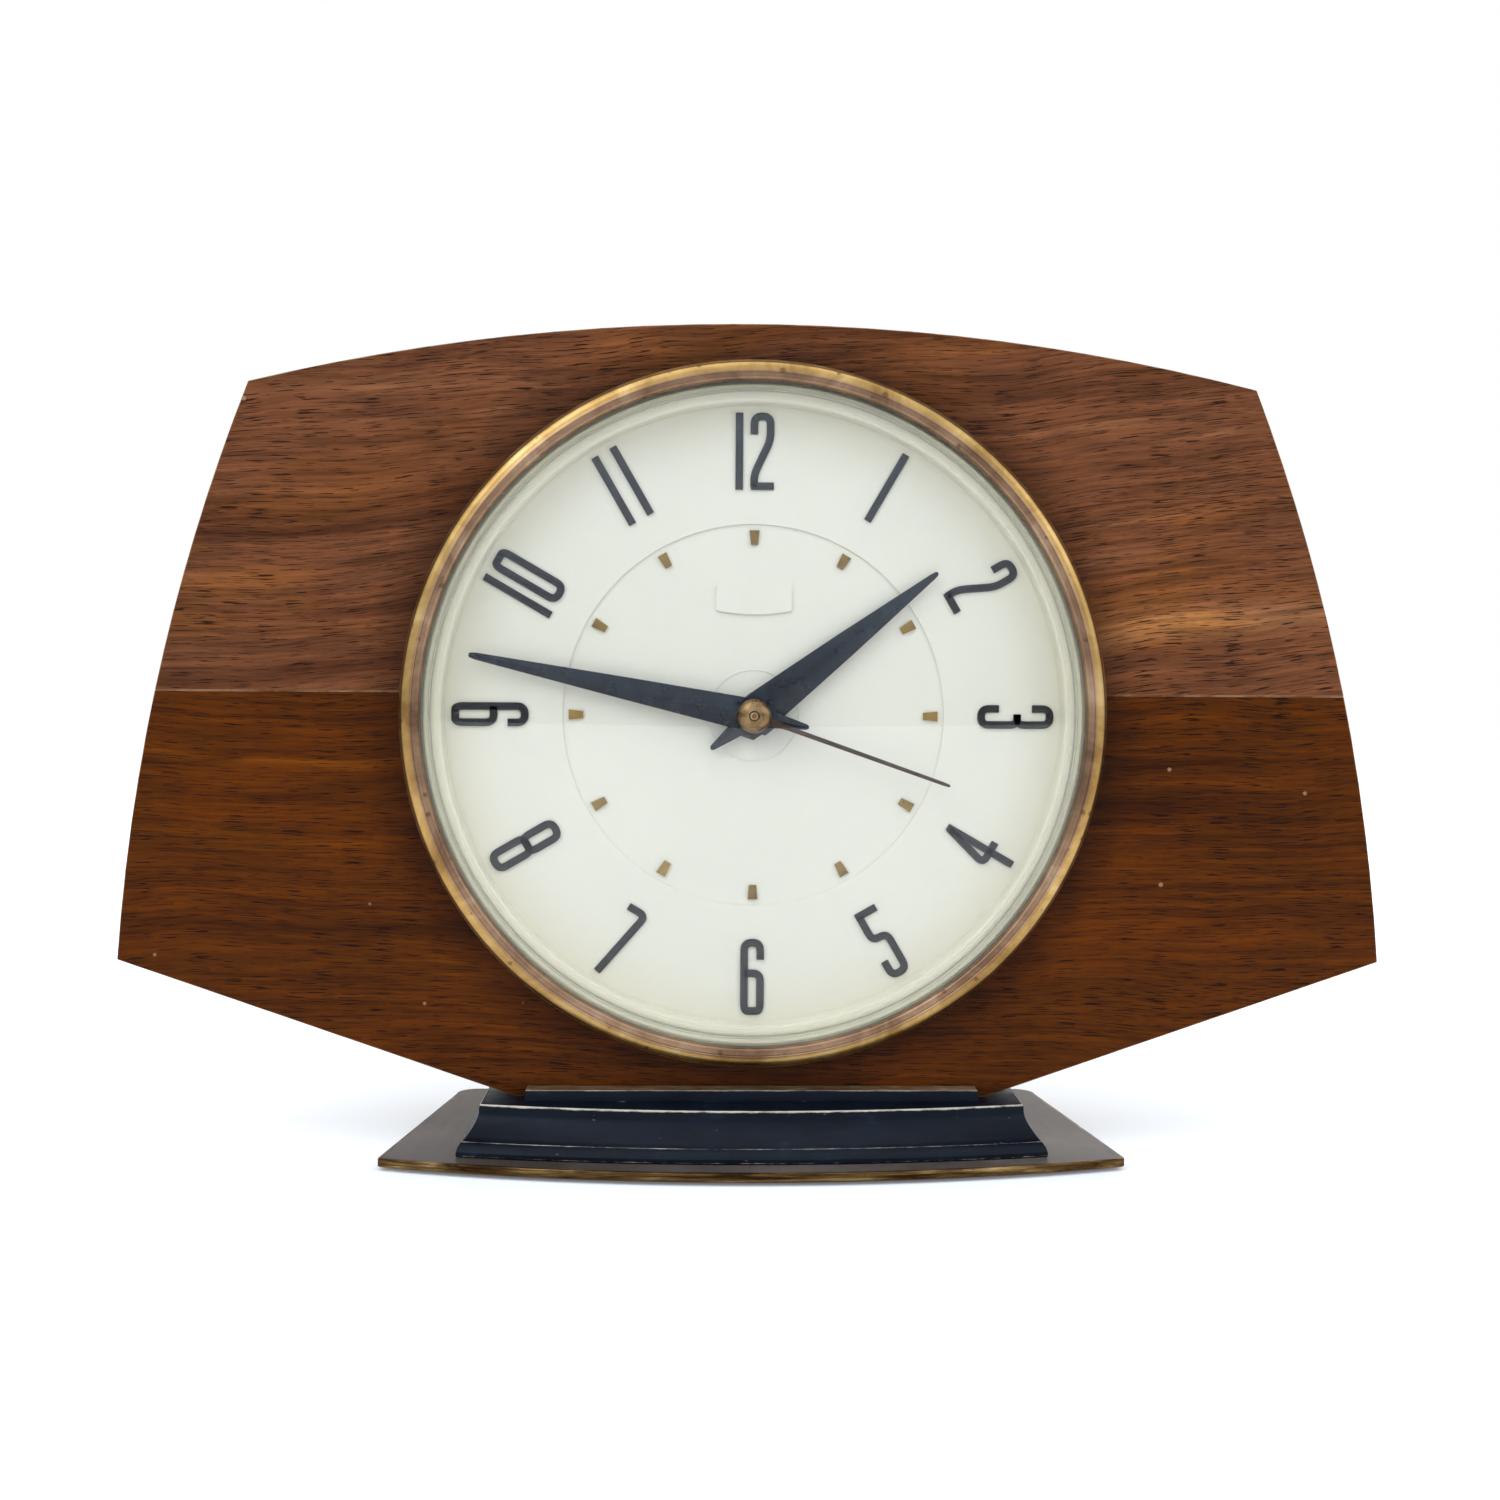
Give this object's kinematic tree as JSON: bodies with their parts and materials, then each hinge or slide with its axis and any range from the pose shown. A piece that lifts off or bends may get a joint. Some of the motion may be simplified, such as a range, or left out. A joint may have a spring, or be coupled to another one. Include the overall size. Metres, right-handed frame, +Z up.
{
  "type": "mantel clock",
  "caption": "Mantel clock with a veneered six-sided panel, round domed-lens dial, dagger hands and seconds sweep, on a dark moulded plinth and brass base plate; battery movement behind.",
  "frame": {"origin": "underside of the felt, below the dial centre, in the plane of the panel front face", "axes": "+X to the viewer's right along the panel, -Y towards the viewer, +Z up"},
  "size_m": [0.2818, 0.0788, 0.1846],
  "materials": {
    "walnut_veneer": "semi-gloss lacquered veneer",
    "panel_board": "stained board",
    "plinth_paint": "worn semi-gloss blue-black paint",
    "base_brass": "aged lacquered brass",
    "felt": "felt",
    "steel_screw": "zinc plated",
    "bezel_brass": "aged polished brass",
    "clear_acrylic": "clear moulded acrylic",
    "gasket_rubber": "pale vinyl, matt",
    "pan_enamel": "cream enamel",
    "pan_steel": "plated sheet",
    "dial_plastic": "ivory, satin",
    "numeral_black": "black, satin",
    "marker_gold": "gold finish",
    "hand_black": "black enamel",
    "seconds_bronze": "dark bronze",
    "cap_brass": "aged brass",
    "movement_brass": "brushed brass",
    "arbor_steel": "polished steel",
    "magnet": "sintered",
    "spring_steel": "blued",
    "cover_plastic": "matt moulded",
    "knob_plastic": "moulded",
    "bobbin_nylon": "natural nylon",
    "copper_winding": "enamelled copper wire",
    "board_laminate": "paper laminate",
    "component_black": "moulded",
    "contact_nickel": "nickel plated",
    "cell_wrap": "printed wrap, no lettering"
  },
  "bodies": {
    "case": {"back_plate": "movement_brass", "base_felt": "felt", "base_plate": "base_brass", "bezel": "bezel_brass", "board_components": "component_black", "board_posts": "arbor_steel", "centre_bush": "movement_brass", "circuit_board": "board_laminate", "clamp_brackets": "pan_steel", "clamp_screws": "steel_screw", "coil_bobbin": "bobbin_nylon", "coil_winding": "copper_winding", "contact_negative": "contact_nickel", "contact_positive": "contact_nickel", "cover_screws": "steel_screw", "dial": "dial_plastic", "dial_numerals": "numeral_black", "dial_pan": "pan_enamel", "frame_pillars": "movement_brass", "front_plate": "movement_brass", "hour_markers": "marker_gold", "lens": "clear_acrylic", "lens_gasket": "gasket_rubber", "lever_stud": "arbor_steel", "motion_stud": "arbor_steel", "mounting_posts": "movement_brass", "mounting_screws": "steel_screw", "panel_core": "panel_board", "panel_screws": "steel_screw", "pillar_screws": "steel_screw", "plate_screws": "steel_screw", "plinth": "plinth_paint", "rear_cover": "cover_plastic", "spring_stud": "arbor_steel", "veneer_lower": "walnut_veneer", "veneer_upper": "walnut_veneer"},
    "minute_body": {"minute_tube": "movement_brass", "centre_wheel": "movement_brass", "cannon_pinion": "movement_brass", "minute_hand": "hand_black", "hand_nut": "hand_black"},
    "hour_body": {"hour_wheel": "movement_brass", "hour_hand": "hand_black"},
    "seconds_body": {"seconds_arbor": "arbor_steel", "index_wheel": "movement_brass", "seconds_hand": "seconds_bronze", "hand_cap": "cap_brass"},
    "third_body": {"third_arbor": "arbor_steel", "third_wheel": "movement_brass"},
    "motion_body": {"motion_wheel": "movement_brass"},
    "set_body": {"set_shaft": "arbor_steel", "set_knob": "knob_plastic"},
    "balance_body": {"balance_staff": "arbor_steel", "balance_wheel": "movement_brass", "balance_magnets": "magnet", "hairspring": "spring_steel"},
    "lever_body": {"index_lever": "arbor_steel"},
    "regulator_body": {"regulator_lever": "arbor_steel"},
    "cell_body": {"cell": "cell_wrap"}
  },
  "joints": [
    {"name": "minute_turn", "type": "hinge", "parent": "case", "child": "minute_body", "pos_m": [0, 0, 0.0982], "axis": [0, 1, 0], "continuous": true},
    {"name": "hour_turn", "type": "hinge", "parent": "case", "child": "hour_body", "pos_m": [0, 0, 0.0982], "axis": [0, 1, 0], "continuous": true},
    {"name": "seconds_turn", "type": "hinge", "parent": "case", "child": "seconds_body", "pos_m": [0, 0, 0.0982], "axis": [0, 1, 0], "continuous": true},
    {"name": "third_turn", "type": "hinge", "parent": "case", "child": "third_body", "pos_m": [0.00765, 0, 0.11145], "axis": [0, 1, 0], "continuous": true},
    {"name": "motion_turn", "type": "hinge", "parent": "case", "child": "motion_body", "pos_m": [-0.01032, 0, 0.09097], "axis": [0, 1, 0], "continuous": true},
    {"name": "set_turn", "type": "hinge", "parent": "case", "child": "set_body", "pos_m": [-0.02216, 0, 0.09528], "axis": [0, 1, 0], "continuous": true},
    {"name": "balance_swing", "type": "hinge", "parent": "case", "child": "balance_body", "pos_m": [-0.018, 0, 0.1152], "axis": [0, 1, 0], "range_deg": [-135, 135], "stiffness_Nm_per_rad": 0.000002, "deforming": ["hairspring"]},
    {"name": "lever_rock", "type": "hinge", "parent": "case", "child": "lever_body", "pos_m": [-0.0125, 0, 0.1067], "axis": [0, 1, 0], "range_deg": [-5, 5]},
    {"name": "regulator_set", "type": "hinge", "parent": "case", "child": "regulator_body", "pos_m": [-0.018, 0, 0.1152], "axis": [0, 1, 0], "range_deg": [-12, 12]},
    {"name": "cell_slide", "type": "slide", "parent": "case", "child": "cell_body", "axis": [0, 1, 0], "range_m": [0, 0.06]}
  ],
  "couplings": [
    {"joint": "hour_turn", "follows": "seconds_turn", "ratio": 0.0013889},
    {"joint": "minute_turn", "follows": "seconds_turn", "ratio": 0.016667},
    {"joint": "third_turn", "follows": "seconds_turn", "ratio": -0.13333},
    {"joint": "motion_turn", "follows": "seconds_turn", "ratio": -0.0055556},
    {"joint": "set_turn", "follows": "seconds_turn", "ratio": 0.016667}
  ]
}
